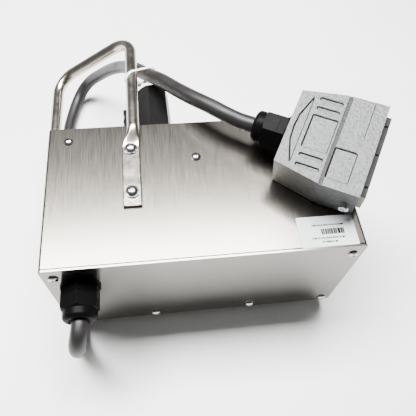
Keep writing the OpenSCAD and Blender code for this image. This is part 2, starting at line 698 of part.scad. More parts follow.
// The ink tube from the inlet, along the back and through the chassis into the manifold
module supply_tube() color([0.88, 0.88, 0.84]) translate([0, 0, inlet_pos[2]]) {
    y_back = back - 36;
    x_in = manifold_x + 10;
    translate([inlet_pos[0], y_back + supply_bend, 0]) rotate([-90, 0, 0])
        cylinder(h = back - 22 - y_back - supply_bend, r = supply_r);
    translate([inlet_pos[0] + supply_bend, y_back + supply_bend, 0]) supply_elbow(180);
    translate([inlet_pos[0] + supply_bend, y_back, 0]) rotate([0, 90, 0])
        cylinder(h = x_in - inlet_pos[0] - 2 * supply_bend, r = supply_r);
    translate([x_in - supply_bend, y_back - supply_bend, 0]) supply_elbow(0);
    translate([x_in, chassis_y, 0]) rotate([-90, 0, 0])
        cylinder(h = y_back - supply_bend - chassis_y, r = supply_r);
}

// The aluminium block that shares the ink out to the valves
module manifold() color([0.74, 0.75, 0.77]) difference() {
    translate([manifold_x, -60, base + 20]) cube([manifold_t, chassis_y + 60, 110]);
    bar_y([manifold_x + 10, nozzle_y, inlet_pos[2]], chassis_y + cut - nozzle_y, 5);
    bar_z([manifold_x + 10, nozzle_y, base + 26], inlet_pos[2] - base - 26, 5);
    for (i = [0 : valves - 1]) {
        bar_x([manifold_x + 10, valve_y(i), valve_z(i)], 11, 4);
        bar_y([manifold_x + 10, nozzle_y - 16, valve_z(i)], 32, 4);
    }
}

module at_valve(i) { translate([valve_x, valve_y(i), valve_z(i)]) rotate([0, 90, 0]) children(); }

// Seven valve bodies with their coils, each with a bore for its plunger and a seat at the front
module valve_bodies() color([0.55, 0.56, 0.58])
    for (i = [0 : valves - 1]) at_valve(i) difference() {
        union() {
            cylinder(h = 5, d = 13);
            translate([0, 0, 5]) cylinder(h = valve_l - 9, d = valve_d);
            translate([0, 0, valve_l - 4]) cylinder(h = 4, d = 11);
        }
        translate([0, 0, -cut]) cylinder(h = 10, d = 4);
        translate([0, 0, 6]) cylinder(h = valve_l - seat_t - 6, r = valve_bore_r);
        translate([0, 0, valve_l - seat_t - cut]) cylinder(h = seat_t + 2 * cut, d = 2.4);
    }

// A valve's plunger, closed on its seat; it moves back towards the manifold to open
module valve_plunger(i) color([0.62, 0.62, 0.60]) at_valve(i)
    translate([0, 0, valve_l - seat_t - plunger_l]) difference() {
        cylinder(h = plunger_l, r = plunger_r);
        translate([0, 0, -cut]) cylinder(h = 8 + cut, r = 2.2);
    }
module plunger_1() { valve_plunger(0); }
module plunger_2() { valve_plunger(1); }
module plunger_3() { valve_plunger(2); }
module plunger_4() { valve_plunger(3); }
module plunger_5() { valve_plunger(4); }
module plunger_6() { valve_plunger(5); }
module plunger_7() { valve_plunger(6); }

// The plungers' springs, each a ring stack behind its plunger
module return_springs() color([0.70, 0.70, 0.70])
    for (i = [0 : valves - 1]) at_valve(i) {
        spring_l = valve_l - seat_t - plunger_l - 6 - spring_gap;
        for (k = [0 : 4]) translate([0, 0, 6.5 + k * (spring_l - 1) / 4]) rotate_extrude()
            translate([3.2, 0]) circle(r = 0.5, $fn = 16);
        translate([0, 0, 6]) difference() {
            cylinder(h = spring_l - 0.5, r = 3.2);
            translate([0, 0, -cut]) cylinder(h = spring_l + 2 * cut, r = 2.9);
        }
    }

module nozzle_tubes() color([0.90, 0.90, 0.86])
    for (i = [0 : valves - 1]) difference() {
        rod([valve_x + valve_l + 1.2, valve_y(i), valve_z(i)],
            [nozzle_block_x + 2, nozzle_y, nozzle_z(i)], 3.4);
        translate([nozzle_block_x, nozzle_y - 20, base + 10]) cube([20, 60, 125]);
    }

module nozzle_block() color([0.72, 0.72, 0.73]) difference() {
    translate([nozzle_block_x, nozzle_y - 8, nozzle_mid_z - 31]) cube([right - nozzle_block_x, 16, 62]);
    for (i = [0 : valves - 1])
        bar_x([nozzle_block_x - cut, nozzle_y, nozzle_z(i)], right - nozzle_block_x + 2 * cut, 2);
}

module nozzle_plate() color([0.78, 0.78, 0.78]) difference() {
    translate([right, nozzle_y, nozzle_mid_z]) rotate([0, 90, 0])
        linear_extrude(plate_t) round_rect(92, 26, 3);
    for (i = [0 : valves - 1]) translate([right, nozzle_y, nozzle_z(i)]) rotate([0, 90, 0]) {
        translate([0, 0, -cut]) cylinder(h = plate_t + 2 * cut, d = 0.6);
        translate([0, 0, 1.6]) cylinder(h = 2, r1 = 0.3, r2 = 2.2);
    }
    for (z = nozzle_screw_z) bar_x([right - cut, nozzle_y, z], plate_t + 2 * cut, nozzle_screw_d + 0.3);
}

module nozzle_screws() color([0.80, 0.80, 0.80])
    for (z = nozzle_screw_z) translate([right + plate_t, nozzle_y, z]) rotate([0, 90, 0])
        pan_screw(nozzle_screw_d, 9);

housing_shell();
front_plate();
front_gasket();
plate_screws();
weld_nuts();
top_screws();
handle_tube();
handle_screws();
handle_washers();
handle_nuts();
foot_front_left();
foot_front_right();
foot_rear_left();
foot_rear_right();
foot_screws();
blank_label();
gland_body();
gland_seal();
gland_nut();
gland_locknut();
plug_hood();
plug_insert();
plug_contacts();
plug_screws();
plug_locking_pegs();
plug_gland_body();
plug_gland_seal();
plug_gland_nut();
cable();
cable_tie();
box_cable_end();
plug_cable_end();
inlet_port();
inlet_locknut();
inlet_collar();
filter_element();
filter_bowl();
chassis();
board_standoffs();
driver_board();
valve_drivers();
capacitors();
terminal_block();
core_wires();
supply_tube();
manifold();
valve_bodies();
return_springs();
nozzle_tubes();
nozzle_block();
nozzle_plate();
nozzle_screws();
plunger_1();
plunger_2();
plunger_3();
plunger_4();
plunger_5();
plunger_6();
plunger_7();
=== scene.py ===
"""The valve-jet print head on a white table, with its cable and plug, in soft studio light."""

import json
import math
import random

import bpy
from mathutils import Matrix, Vector


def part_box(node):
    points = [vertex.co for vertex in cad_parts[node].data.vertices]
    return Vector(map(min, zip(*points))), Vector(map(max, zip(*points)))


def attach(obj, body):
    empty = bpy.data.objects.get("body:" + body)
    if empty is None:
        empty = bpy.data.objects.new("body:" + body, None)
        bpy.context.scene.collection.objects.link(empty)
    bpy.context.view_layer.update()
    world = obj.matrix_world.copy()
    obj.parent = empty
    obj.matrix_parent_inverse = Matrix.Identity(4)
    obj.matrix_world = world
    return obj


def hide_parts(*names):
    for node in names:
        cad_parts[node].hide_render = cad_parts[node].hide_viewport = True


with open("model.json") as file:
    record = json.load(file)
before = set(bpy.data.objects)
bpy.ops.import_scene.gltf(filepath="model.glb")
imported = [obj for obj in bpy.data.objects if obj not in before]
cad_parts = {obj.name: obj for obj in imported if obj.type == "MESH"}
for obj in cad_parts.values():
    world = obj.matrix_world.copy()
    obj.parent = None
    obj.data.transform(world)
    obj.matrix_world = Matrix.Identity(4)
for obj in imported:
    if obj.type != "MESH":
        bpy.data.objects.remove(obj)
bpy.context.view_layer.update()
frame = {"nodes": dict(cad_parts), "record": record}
record = frame["record"]
MM = 0.001

slot_of = {entry["node"]: entry["material_slot"] for entry in record["subparts"]}
body_of = {node: body for body, nodes in record["behaviour"]["bodies"].items() for node in nodes}
colour_of = {entry["slot"]: entry["base_color"] for entry in record["materials"]}


# ---- camera ----

LENS_MM = 39.72
SENSOR_MM = 36
CAMERA_AT = Vector((-36.7, -248.5, 540.6)) * MM
CAMERA_RIGHT = Vector((0.99278, -0.11087, 0.04568))
CAMERA_UP = Vector((0.07219, 0.85680, 0.51058))
CAMERA_BACK = Vector((-0.09574, -0.50359, 0.85862))


def add_camera():
    """The camera at the viewing angle that shows the top and the gland's side."""
    data = bpy.data.cameras.new("camera")
    data.sensor_width = SENSOR_MM
    data.lens = LENS_MM
    data.clip_start = 0.01
    camera = bpy.data.objects.new("camera", data)
    turn = Matrix((CAMERA_RIGHT, CAMERA_UP, CAMERA_BACK)).transposed().to_4x4()
    camera.matrix_world = Matrix.Translation(CAMERA_AT) @ turn
    bpy.context.collection.objects.link(camera)
    bpy.context.scene.camera = camera


add_camera()


# ---- materials ----

# Noise keeps almost wholly between these two values
NOISE_LOW, NOISE_HIGH = 0.3, 0.7


class Nodes:
    """A material's node tree, with short calls for the nodes that the surfaces share."""

    def __init__(self, name):
        self.material = bpy.data.materials.new(name)
        self.material.use_nodes = True
        self.tree = self.material.node_tree
        self.shader = self.tree.nodes["Principled BSDF"]
        self.place = self.add("ShaderNodeTexCoord").outputs["Object"]

    def add(self, kind):
        return self.tree.nodes.new(kind)

    def link(self, source, target):
        self.tree.links.new(source, target)

    def stretched(self, stretch, turn=(0, 0, 0)):
        """Object coordinates, turned and then scaled along each axis."""
        mapping = self.add("ShaderNodeMapping")
        mapping.inputs["Rotation"].default_value = turn
        mapping.inputs["Scale"].default_value = stretch
        self.link(self.place, mapping.inputs["Vector"])
        return mapping.outputs["Vector"]

    def noise(self, scale, detail=3.0, rough=0.55, stretch=None):
        """A noise of so many cells to the metre, drawn out along the axis with a small stretch."""
        noise = self.add("ShaderNodeTexNoise")
        noise.inputs["Scale"].default_value = scale
        noise.inputs["Detail"].default_value = detail
        noise.inputs["Roughness"].default_value = rough
        source = self.place if stretch is None else self.stretched(stretch)
        self.link(source, noise.inputs["Vector"])
        return noise.outputs["Fac"]

    def range(self, source, low, high):
        """A value from low to high by a noise."""
        mapped = self.add("ShaderNodeMapRange")
        mapped.inputs["From Min"].default_value = NOISE_LOW
        mapped.inputs["From Max"].default_value = NOISE_HIGH
        mapped.inputs["To Min"].default_value = low
        mapped.inputs["To Max"].default_value = high
        self.link(source, mapped.inputs["Value"])
        return mapped.outputs["Result"]

    def tint(self, source, dark, light, start=NOISE_LOW, end=NOISE_HIGH):
        """A colour from dark to light by a noise."""
        ramp = self.add("ShaderNodeValToRGB")
        ramp.color_ramp.elements[0].position = start
        ramp.color_ramp.elements[0].color = (*dark, 1)
        ramp.color_ramp.elements[1].position = end
        ramp.color_ramp.elements[1].color = (*light, 1)
        self.link(source, ramp.inputs["Fac"])
        return ramp.outputs["Color"]

    def bump(self, height, strength, distance, under=None):
        """A normal from a height, laid over the normal under it."""
        bump = self.add("ShaderNodeBump")
        bump.inputs["Strength"].default_value = strength
        bump.inputs["Distance"].default_value = distance
        self.link(height, bump.inputs["Height"])
        if under is not None:
            self.link(under, bump.inputs["Normal"])
        return bump.outputs["Normal"]

    def finish(self, colour, roughness, normal=None, metallic=0.0, **uniform):
        """Joins the shader up; uniform holds its sockets that are the same all over."""
        self.link(colour, self.shader.inputs["Base Color"])
        self.link(roughness, self.shader.inputs["Roughness"])
        if normal is not None:
            self.link(normal, self.shader.inputs["Normal"])
        self.shader.inputs["Metallic"].default_value = metallic
        for name, value in uniform.items():
            self.shader.inputs[name.replace("_", " ")].default_value = value
        return self.material


STRAW_TONE = (1.03, 0.98, 0.91)


def shade(colour, factor):
    """A colour made darker or lighter, with no channel past 1."""
    return tuple(min(1.0, channel * factor) for channel in colour[:3])


def warm(colour):
    """A colour with a slight straw tone."""
    return tuple(channel * tone for channel, tone in zip(colour, STRAW_TONE))


def brushed_metal(name, colour, stretch, rough, bump=0.05):
    """Rolled steel with fine scratches that run along the axis with the small stretch."""
    n = Nodes(name)
    scratch = n.noise(1800, 3, 0.6, stretch)
    cloud = n.noise(14, 2)
    tone = n.tint(scratch, shade(colour, 0.95), shade(colour, 1.05))
    normal = n.bump(scratch, bump, 0.00015, n.bump(cloud, 0.04, 0.0004))
    return n.finish(tone, n.range(scratch, *rough), normal, metallic=1.0)


def bright_metal(name, colour, rough, stretch=(1, 0.06, 1), streak=0.08):
    """Bright drawn or turned metal with a few handling marks."""
    n = Nodes(name)
    draw = n.noise(700, 3, 0.6, stretch)
    marks = n.noise(90, 5, 0.7)
    tone = n.tint(draw, shade(colour, 1 - streak), shade(colour, 1 + streak))
    normal = n.bump(draw, 0.06, 0.0002, n.bump(marks, 0.05, 0.0002))
    return n.finish(tone, n.range(marks, *rough), normal, metallic=1.0)


def hammered_paint(name, colour):
    """Silver paint over a sand-cast hood: fine pits and an orange-peel skin."""
    n = Nodes(name)
    pits = n.noise(900, 3, 0.7)
    peel = n.noise(330, 3, 0.6)
    cloud = n.noise(30, 2)
    tone = n.tint(peel, shade(colour, 0.72), shade(colour, 1.2), 0.4, 0.6)
    normal = n.bump(pits, 0.5, 0.0006, n.bump(peel, 0.7, 0.0012, n.bump(cloud, 0.1, 0.001)))
    return n.finish(tone, n.range(peel, 0.34, 0.50), normal, metallic=0.55, Specular_IOR_Level=0.5)


def moulded_plastic(name, colour, rough, grain=700, bump=0.12, **uniform):
    """Moulded plastic: a fine grain, and a little handling that changes its gloss."""
    n = Nodes(name)
    fine = n.noise(grain, 3, 0.6)
    handling = n.noise(45, 4, 0.6)
    tone = n.tint(handling, shade(colour, 0.88), shade(colour, 1.12))
    normal = n.bump(fine, bump, 0.0002)
    return n.finish(tone, n.range(handling, *rough), normal, **uniform)


def soft_rubber(name, colour):
    """Matt rubber with a fine grain and pale scuffs."""
    n = Nodes(name)
    fine = n.noise(1200, 4, 0.7)
    scuff = n.noise(60, 5, 0.7)
    tone = n.tint(scuff, shade(colour, 0.8), shade(colour, 1.35))
    return n.finish(tone, n.range(scuff, 0.62, 0.80), n.bump(fine, 0.2, 0.0003), Specular_IOR_Level=0.1)


def cable_jacket(name, colour):
    """A smooth grey jacket with faint marks from its drum."""
    n = Nodes(name)
    fine = n.noise(900, 3, 0.6)
    rubbed = n.noise(38, 5, 0.65)
    tone = n.tint(rubbed, shade(colour, 0.86), shade(colour, 1.16))
    normal = n.bump(fine, 0.08, 0.0002, n.bump(rubbed, 0.05, 0.0006))
    return n.finish(tone, n.range(rubbed, 0.36, 0.52), normal, Specular_IOR_Level=0.3)


def woven_media(name, colour):
    """Filter cloth with its fibres lying along y."""
    n = Nodes(name)
    fibre = n.noise(600, 5, 0.7, (1, 0.2, 1))
    tone = n.tint(fibre, shade(colour, 0.7), shade(colour, 1.1))
    return n.finish(tone, n.range(fibre, 0.8, 0.95), n.bump(fibre, 0.5, 0.0006))


def circuit_board(name, colour):
    """Solder mask with paler tracks under it."""
    n = Nodes(name)
    tracks = n.add("ShaderNodeTexBrick")
    tracks.inputs["Scale"].default_value = 90
    tracks.inputs["Mortar Size"].default_value = 0.03
    tracks.inputs["Color1"].default_value = (*shade(colour, 0.9), 1)
    tracks.inputs["Color2"].default_value = (*shade(colour, 1.1), 1)
    tracks.inputs["Mortar"].default_value = (*shade(colour, 1.9), 1)
    n.link(n.stretched((1, 1, 1), (math.radians(90), 0, 0)), tracks.inputs["Vector"])
    fine = n.noise(500, 3)
    return n.finish(tracks.outputs["Color"], n.range(fine, 0.28, 0.4), n.bump(fine, 0.1, 0.0002))


def printing_ink(name):
    """Matt black ink."""
    n = Nodes(name)
    tone = n.tint(n.noise(800), (0.0008, 0.0008, 0.001), (0.002, 0.002, 0.0024))
    return n.finish(tone, n.range(n.noise(300), 0.75, 0.9), Specular_IOR_Level=0.0)


ALONG_X = (0.02, 1, 1)
ALONG_Y = (1, 0.02, 1)
ALONG_Z = (1, 1, 0.02)
TRANSLUCENT = {"Subsurface_Weight": 0.3, "Subsurface_Scale": 0.002}
WARM_SLOTS = ("stainless_sheet", "stainless_plate", "handle_steel", "cable_jacket")

# For each slot: its builder, the share of the record's colour that it shows, and its settings
SURFACES = {
    "stainless_sheet": (brushed_metal, 0.3, {"stretch": ALONG_Y, "rough": (0.2, 0.26), "bump": 0.012}),
    "stainless_plate": (brushed_metal, 0.3, {"stretch": ALONG_X, "rough": (0.16, 0.22), "bump": 0.012}),
    "inner_steel": (brushed_metal, 1, {"stretch": ALONG_X, "rough": (0.34, 0.46)}),
    "valve_steel": (brushed_metal, 1, {"stretch": ALONG_Z, "rough": (0.22, 0.34)}),
    "manifold_aluminium": (brushed_metal, 1, {"stretch": ALONG_Z, "rough": (0.3, 0.42)}),
    "handle_steel": (bright_metal, 0.85, {"rough": (0.16, 0.26), "stretch": (1, 0.05, 1), "streak": 0.06}),
    "screw_steel": (bright_metal, 0.7, {"rough": (0.14, 0.22)}),
    "peg_steel": (bright_metal, 1, {"rough": (0.08, 0.16)}),
    "fitting_steel": (bright_metal, 1, {"rough": (0.2, 0.34)}),
    "contact_brass": (bright_metal, 1, {"rough": (0.2, 0.3)}),
    "standoff_brass": (bright_metal, 1, {"rough": (0.24, 0.36)}),
    "hood_paint": (hammered_paint, 0.15, {}),
    "gland_nylon": (moulded_plastic, 0.1, {
        "rough": (0.3, 0.42), "grain": 900, "bump": 0.1, "Specular_IOR_Level": 0.025}),
    "bowl_plastic": (moulded_plastic, 0.2, {
        "rough": (0.32, 0.45), "grain": 900, "bump": 0.15, "Specular_IOR_Level": 0.14}),
    "insert_plastic": (moulded_plastic, 0.5, {
        "rough": (0.45, 0.6), "bump": 0.2, "Specular_IOR_Level": 0.2}),
    "label_film": (moulded_plastic, 0.6, {"rough": (0.38, 0.5), "grain": 900, "bump": 0.05}),
    "tie_nylon": (moulded_plastic, 1, {"rough": (0.35, 0.5), "bump": 0.05, **TRANSLUCENT}),
    "tube_white": (moulded_plastic, 1, {"rough": (0.25, 0.36), **TRANSLUCENT}),
    "component_black": (moulded_plastic, 1, {"rough": (0.5, 0.65)}),
    "capacitor_sleeve": (moulded_plastic, 1, {"rough": (0.22, 0.34)}),
    "terminal_green": (moulded_plastic, 1, {"rough": (0.4, 0.55)}),
    "wire_red": (moulded_plastic, 1, {"rough": (0.3, 0.42)}),
    "gasket_rubber": (soft_rubber, 0.05, {}),
    "foot_rubber": (soft_rubber, 1, {}),
    "seal_rubber": (soft_rubber, 1, {}),
    "cable_jacket": (cable_jacket, 0.06, {}),
    "filter_media": (woven_media, 1, {}),
    "board_green": (circuit_board, 1, {}),
}


def slot_material(slot):
    """The finish that SURFACES gives a slot."""
    build, share, settings = SURFACES[slot]
    colour = warm(colour_of[slot]) if slot in WARM_SLOTS else colour_of[slot]
    return build(slot, shade(colour, share), **settings)


materials = {slot: slot_material(slot) for slot in colour_of}
# Painted shade: darker copies of the hood's paint, for the floor of its recessed band and for the fillets
# at the feet of its sunk walls
for name, share in (("hood_band_painted_shade", 0.02), ("fillet_painted_shade_lit", 0.03), ("fillet_painted_shade_away", 0.005)):
    materials[name] = hammered_paint(name, shade(colour_of["hood_paint"], share))
# Painted shade for the slots in the contact block's nose
materials["insert_slot_painted_shade"] = moulded_plastic(
    "insert_slot_painted_shade", shade(colour_of["insert_plastic"], 0.012), (0.7, 0.85))
materials["recess_shadow"] = moulded_plastic(
    "recess_shadow", (0.006, 0.006, 0.006), (0.7, 0.85), Specular_IOR_Level=0.1)
materials["label_ink"] = printing_ink("label_ink")


# ---- pieces ----

WELD_GAP = 0.01 * MM
FLAT_WITHIN = math.radians(0.3)
SHARP_FROM = math.radians(32)
BEVEL_SEGMENTS = 3


def paint(obj, slot):
    """Gives obj one material, that of a slot."""
    obj.data.materials.clear()
    obj.data.materials.append(materials[slot])


def claim(obj, slot, body, *nodes):
    """obj takes its slot's finish, rides on a body and stands for some CAD nodes."""
    paint(obj, slot)
    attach(obj, body)
    if nodes:
        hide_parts(*nodes)


def bevelled(node, width_mm):
    """A copy of a CAD node with its sharp edges rounded."""
    source = frame["nodes"][node]
    obj = source.copy()
    obj.data = source.data.copy()
    obj.name = f"{node}_rounded"
    bpy.context.collection.objects.link(obj)
    obj.parent = None
    obj.matrix_world = Matrix.Identity(4)
    obj.modifiers.new("weld", "WELD").merge_threshold = WELD_GAP
    flat = obj.modifiers.new("flat", "DECIMATE")
    flat.decimate_type = "DISSOLVE"
    flat.angle_limit = FLAT_WITHIN
    bevel = obj.modifiers.new("bevel", "BEVEL")
    bevel.width = width_mm * MM
    bevel.segments = BEVEL_SEGMENTS
    bevel.limit_method = "ANGLE"
    bevel.angle_limit = SHARP_FROM
    bevel.harden_normals = True
    bevel.use_clamp_overlap = True
    obj.modifiers.new("even", "WEIGHTED_NORMAL").keep_sharp = True
    obj.data.shade_smooth()
    bake_modifiers(obj)
    claim(obj, slot_of[node], body_of[node], node)
    return obj


def bake_modifiers(obj):
    """Turns obj's modifiers into plain mesh."""
    depsgraph = bpy.context.evaluated_depsgraph_get()
    mesh = bpy.data.meshes.new_from_object(obj.evaluated_get(depsgraph))
    obj.modifiers.clear()
    obj.data = mesh


def new_mesh(name, vertices, faces):
    """A mesh object from points and the corners of its faces."""
    mesh = bpy.data.meshes.new(name)
    mesh.from_pydata([tuple(v) for v in vertices], [], faces)
    mesh.update()
    obj = bpy.data.objects.new(name, mesh)
    bpy.context.collection.objects.link(obj)
    return obj


# Corner i of a box lies high on x, y and z where bits 0, 1 and 2 of i are set
BOX_FACES = (
    (0, 2, 3, 1), (4, 5, 7, 6), (0, 1, 5, 4),
    (2, 6, 7, 3), (0, 4, 6, 2), (1, 3, 7, 5))


def boxes(name, corners):
    """One mesh of boxes, each given by its low and high corner."""
    vertices, faces = [], []
    for box in corners:
        start = len(vertices)
        for i in range(8):
            vertices.append([box[i >> axis & 1][axis] for axis in range(3)])
        for face in BOX_FACES:
            faces.append([start + corner for corner in face])
    return new_mesh(name, vertices, faces)


# ---- the cable ----

CABLE_D = 16 * MM
ROUTE_MM = [
    (-120, -114, 124), (-120, -118, 124), (-121, -125, 122), (-123, -130, 116), (-125, -132, 107),
    (-127, -131, 95), (-130, -127, 78), (-133, -122, 60), (-136, -117, 43), (-139, -111, 28),
    (-142, -102, 15), (-144, -88, 9), (-145, -68, 8.2), (-147, -20, 8.2), (-151, 25, 8.2),
    (-157, 75, 8.2), (-163, 125, 8.2), (-167, 170, 8.2), (-167, 212, 8.2), (-163, 240, 8.6),
    (-157, 262, 11.5), (-151, 274, 16.5), (-144, 281, 24), (-135, 284, 33), (-125, 280, 45),
    (-115, 272, 58), (-104, 261, 74), (-94, 248, 90), (-84, 234, 105), (-74, 219, 119),
    (-65, 199, 135), (-56, 180, 149), (-43, 157, 161), (-30, 137, 172), (-14, 114, 180),
    (1, 94, 187), (18, 77, 191), (33, 64, 191.5)]
PLUG_AT = Vector((125.2, 4.8, 217.3)) * MM
PLUG_TURN = (
    Matrix.Rotation(math.radians(-30), 4, "Z")
    @ Matrix.Rotation(math.radians(-3.5), 4, "Y")
    @ Matrix.Rotation(math.radians(12), 4, "X"))
PLUG_MATRIX = Matrix.Translation(PLUG_AT) @ PLUG_TURN
PLUG_MOUTH_X = -80
PLUG_LEAD = 16
PLUG_AXIS_Z = -21.5
LINE_STEPS = 5


def plug_point(x, y, z):
    """A point given in millimetres in the plug's own frame."""
    return PLUG_MATRIX @ (Vector((x, y, z)) * MM)


def smooth_line(points):
    """A Catmull-Rom line through the points."""
    line = []
    for i in range(len(points) - 1):
        p = [points[max(0, i - 1)], points[i], points[i + 1], points[min(len(points) - 1, i + 2)]]
        for k in range(LINE_STEPS):
            t = k / LINE_STEPS
            line.append(0.5 * (
                2 * p[1] + t * (p[2] - p[0])
                + t * t * (2 * p[0] - 5 * p[1] + 4 * p[2] - p[3])
                + t ** 3 * (3 * p[1] - p[0] - 3 * p[2] + p[3])))
    line.append(points[-1])
    return line


def add_cable():
    """The cable as a round curve, with the point where it starts and its length."""
    route = [Vector(p) * MM for p in ROUTE_MM]
    route.append(plug_point(PLUG_MOUTH_X - PLUG_LEAD, 0, PLUG_AXIS_Z))
    route.append(plug_point(PLUG_MOUTH_X, 0, PLUG_AXIS_Z))
    line = smooth_line(route)
    curve = bpy.data.curves.new("cable_jacket_line", "CURVE")
    curve.dimensions = "3D"
    curve.bevel_depth = CABLE_D / 2
    curve.bevel_resolution = 8
    curve.use_fill_caps = True
    spline = curve.splines.new("POLY")
    spline.points.add(len(line) - 1)
    for point, place in zip(spline.points, line):
        point.co = (*place, 1)
    spline.use_smooth = True
    cable = bpy.data.objects.new("cable_jacket", curve)
    bpy.context.collection.objects.link(cable)
    claim(cable, "cable_jacket", "head", "cable")
    length = sum((b - a).length for a, b in zip(line, line[1:]))
    return cable, line[0], length


# ---- the plug's relief: its fillets and its painted shade, in millimetres in the plug's own frame ----

HOOD_T = 43

# The band across both large faces, whose floor takes painted shade: how deep its floor is, and which mesh
# faces count as that floor
BAND_DEPTH = 1.4
BAND_MARGIN = 0.1
LEAST_FACING = 0.6

# The slots across the contact block's nose, which take painted shade
INSERT_SLOT_X = 37
INSERT_SLOT_Y = (-33, 1.5, 33)
INSERT_SLOT_HALF_W = 1.2

# The sunk shapes, and the fillets from just below their rims to just above their floors, which carry
# painted shade
RELIEF_DEPTH = 0.9
FILLET_TOP = 0.06
FILLET_FOOT = RELIEF_DEPTH - 0.02
FILLET_W_AWAY = 1.6
FILLET_W_LIT = 0.9
CORNER_LIMIT = 0.3

# The low step across both large faces, near the contacts
STEP_X = 23.4
STEP_Y = (9, 48)
STEP_TOP = 0.03
STEP_FOOT = 0.44
STEP_FILLET_W = 0.8


def convex_inset(points, inset):
    """The corners of a convex outline, counter-clockwise, moved inwards, but not far at a sharp one."""
    moved = []
    for i, here in enumerate(points):
        before, after = points[i - 1], points[(i + 1) % len(points)]
        one, two = (here - before).normalized(), (after - here).normalized()
        middle = (one + two).normalized()
        inwards = Vector((-middle.y, middle.x))
        moved.append(here + inwards * inset / max(CORNER_LIMIT, middle.dot(one)))
    return moved


def round_rect(centre, width, height, radius, steps=5):
    """A rectangle's outline with round corners, counter-clockwise."""
    points = []
    for quarter, (sx, sy) in enumerate(((1, 1), (-1, 1), (-1, -1), (1, -1))):
        corner = Vector((
            centre[0] + sx * (width / 2 - radius),
            centre[1] + sy * (height / 2 - radius)))
        for k in range(steps + 1):
            a = math.radians(90 * (quarter + k / steps))
            points.append(corner + Vector((math.cos(a), math.sin(a))) * radius)
    return points


SPINDLE = [Vector(p) for p in (
    (-33, 37.5), (-34.2, 34), (-40.5, 14), (-41.5, 0), (-40.5, -14), (-34.2, -34), (-33, -37.5),
    (-31.8, -34), (-31.8, 34))]
SUNK_OUTLINES = [round_rect((-16, y), 23, 4.2, 2) for y in (-36.5, -26, 26, 36.5)]
SUNK_OUTLINES += [round_rect((-16, 0), 25, 37, 2), round_rect((12, -24.5), 21.5, 33, 2.5), SPINDLE]


def relief_point(x, y, depth, side):
    """A point so far below one of the hood's two large faces, side 1 or -1."""
    return plug_point(x, y, -depth if side > 0 else depth - HOOD_T)


def turned_away(outline):
    """Tells for each corner of an outline if the wall there is turned from the light."""
    away = []
    for i in range(len(outline)):
        along = (outline[(i + 1) % len(outline)] - outline[i - 1]).normalized()
        away.append(-along.y - along.x > 0)
    return away


def outline_fillet(outline, side):
    """The fillet round the foot of a sunk shape's wall: points, faces, and which faces are away."""
    away = turned_away(outline)
    wide, slim = (convex_inset(outline, width) for width in (FILLET_W_AWAY, FILLET_W_LIT))
    points, faces, away_faces = [], [], []
    for i, here in enumerate(outline):
        foot = wide[i] if away[i] else slim[i]
        for place, depth in ((here, FILLET_TOP), (here, FILLET_FOOT), (foot, FILLET_FOOT)):
            points.append(relief_point(place.x, place.y, depth, side))
    for i in range(len(outline)):
        j = (i + 1) % len(outline)
        for k in range(3):
            after = (k + 1) % 3
            faces.append((3 * i + k, 3 * i + after, 3 * j + after, 3 * j + k))
            away_faces.append(away[i] and away[j])
    return points, faces, away_faces


def step_fillet(side):
    """The fillet at the foot of the step across a face, in the same form as outline_fillet's."""
    points = []
    for y in STEP_Y:
        for x, depth in ((STEP_X, STEP_TOP), (STEP_X, STEP_FOOT), (STEP_X - STEP_FILLET_W, STEP_FOOT)):
            points.append(relief_point(x, y, depth, side))
    faces = [(0, 1, 4, 3), (1, 2, 5, 4), (2, 0, 3, 5), (2, 1, 0), (3, 4, 5)]
    return points, faces, [True] * len(faces)


def add_relief_fillets():
    """The fillets in the hood's relief, as one piece dark with painted shade; those turned from the light
    are darker still.
    """
    vertices, faces, away_faces = [], [], []
    for side in (1, -1):
        fillets = [outline_fillet(outline, side) for outline in SUNK_OUTLINES]
        fillets.append(step_fillet(side))
        for points, corners, away in fillets:
            start = len(vertices)
            vertices += points
            away_faces += away
            for face in corners:
                wound = face if side > 0 else face[::-1]
                faces.append([start + corner for corner in wound])
    obj = new_mesh("hood_fillets_painted_shade", vertices, faces)
    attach(obj, "head")
    # Painted shade: the fillets turned from the light take the darker of the two copies
    for name in ("fillet_painted_shade_lit", "fillet_painted_shade_away"):
        obj.data.materials.append(materials[name])
    for face, away in zip(obj.data.polygons, away_faces):
        face.material_index = int(away)
    return obj


def shade_band(hood):
    """Gives the floor of the band across both large faces painted shade, a much darker copy of the hood's
    paint.
    """
    hood.data.materials.append(materials["hood_band_painted_shade"])
    to_plug = PLUG_MATRIX.inverted()
    for face in hood.data.polygons:
        z = (to_plug @ face.center / MM).z
        facing = abs((to_plug.to_3x3() @ face.normal).z)
        depth = min(-z, z + HOOD_T)
        if abs(depth - BAND_DEPTH) < BAND_MARGIN and facing > LEAST_FACING:
            face.material_index = 1


def shade_insert(insert):
    """Paints shade into the slots across the contact block's nose."""
    insert.data.materials.append(materials["insert_slot_painted_shade"])
    to_plug = PLUG_MATRIX.inverted()
    for face in insert.data.polygons:
        place = to_plug @ face.center / MM
        in_slot = any(abs(place.y - y) < INSERT_SLOT_HALF_W for y in INSERT_SLOT_Y)
        if place.x > INSERT_SLOT_X and in_slot:
            face.material_index = 1


# ---- the cross recesses in the small screws: how wide, and how far below the crown ----

RECESS_R = 2.5 * MM
RECESS_TOP = 0.42 * MM
RECESS_FLOOR = 1.75 * MM


def islands(mesh):
    """The mesh's faces, sorted into its separate solids."""
    parent = list(range(len(mesh.vertices)))

    def root(v):
        while parent[v] != v:
            parent[v] = parent[parent[v]]
            v = parent[v]
        return v

    for face in mesh.polygons:
        first = root(face.vertices[0])
        for v in face.vertices[1:]:
            parent[root(v)] = first
    groups = {}
    for face in mesh.polygons:
        groups.setdefault(root(face.vertices[0]), []).append(face)
    return groups.values()


